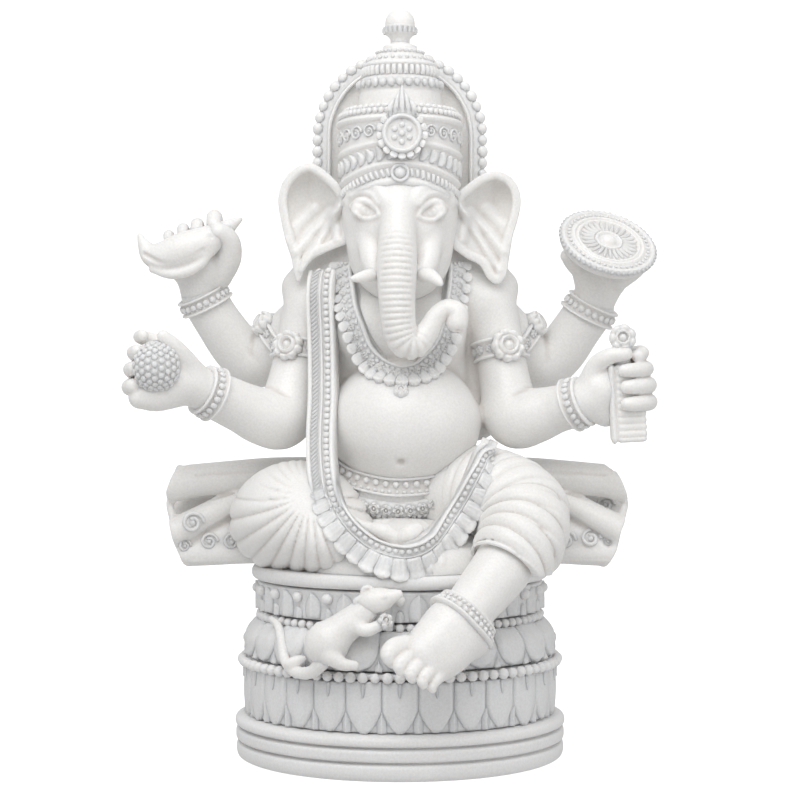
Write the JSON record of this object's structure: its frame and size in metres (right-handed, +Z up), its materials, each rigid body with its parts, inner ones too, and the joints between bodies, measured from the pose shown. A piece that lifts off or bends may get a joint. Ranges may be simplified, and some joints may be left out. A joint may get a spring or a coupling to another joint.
{
  "type": "ganesha idol",
  "caption": "Seated four-armed elephant-headed deity figure in white cast marble resin on a round double lotus pedestal, with a small mouse at the foot.",
  "frame": {"origin": "centre of the flat underside of the round plinth, on the surface that the idol stands on", "axes": "+Z up from the plinth to the crown, -Y the way that the face looks, +X the idol's own left"},
  "size_m": [0.1636, 0.1207, 0.23],
  "materials": {
    "polished_resin": "smooth cast marble resin with a soft satin sheen, for the skin",
    "carved_resin": "crisp carved marble resin, satin on the high points, for crown and ornaments",
    "drapery_resin": "satin cast marble resin, for the clothes",
    "pedestal_resin": "cooler, slightly more matte marble resin, for the pedestal"
  },
  "bodies": {
    "root": {"plinth": "pedestal_resin", "lower_lotus_tier": "pedestal_resin", "middle_bead_ring": "pedestal_resin", "upper_lotus_tier": "pedestal_resin", "upper_bead_ring": "pedestal_resin", "leaf_collar": "pedestal_resin", "seat_slab": "pedestal_resin", "torso": "polished_resin", "head": "polished_resin", "trunk": "polished_resin", "right_tusk": "polished_resin", "left_tusk": "polished_resin", "sweet_bowl": "carved_resin", "lotus_disc": "carved_resin", "conch": "carved_resin", "goad": "carved_resin", "right_front_upper_arm": "polished_resin", "left_front_upper_arm": "polished_resin", "right_rear_upper_arm": "polished_resin", "left_rear_upper_arm": "polished_resin", "right_front_forearm": "polished_resin", "left_front_forearm": "polished_resin", "right_rear_forearm": "polished_resin", "left_rear_forearm": "polished_resin", "right_front_hand": "polished_resin", "left_front_hand": "polished_resin", "right_rear_hand": "polished_resin", "left_rear_hand": "polished_resin", "right_leg": "drapery_resin", "left_trouser_leg": "drapery_resin", "left_shin": "polished_resin", "left_foot": "polished_resin", "anklet": "carved_resin", "crown_band": "carved_resin", "crown_cap": "carved_resin", "crown_finial": "carved_resin", "crown_medallion": "carved_resin", "right_ear": "polished_resin", "left_ear": "polished_resin", "halo_plate": "carved_resin", "halo_rim": "carved_resin", "right_front_bracelet": "carved_resin", "left_front_bracelet": "carved_resin", "right_rear_bracelet": "carved_resin", "left_rear_bracelet": "carved_resin", "right_front_armlet": "carved_resin", "left_front_armlet": "carved_resin", "right_rear_armlet": "carved_resin", "left_rear_armlet": "carved_resin", "bolster": "drapery_resin", "right_bolster_end": "drapery_resin", "left_bolster_end": "drapery_resin", "lap_cloth": "drapery_resin", "garland": "carved_resin", "waist_belt": "carved_resin", "hip_frieze": "carved_resin", "mouse_body": "polished_resin", "mouse_head": "polished_resin", "mouse_tail": "polished_resin", "necklace": "carved_resin"}
  },
  "joints": []
}
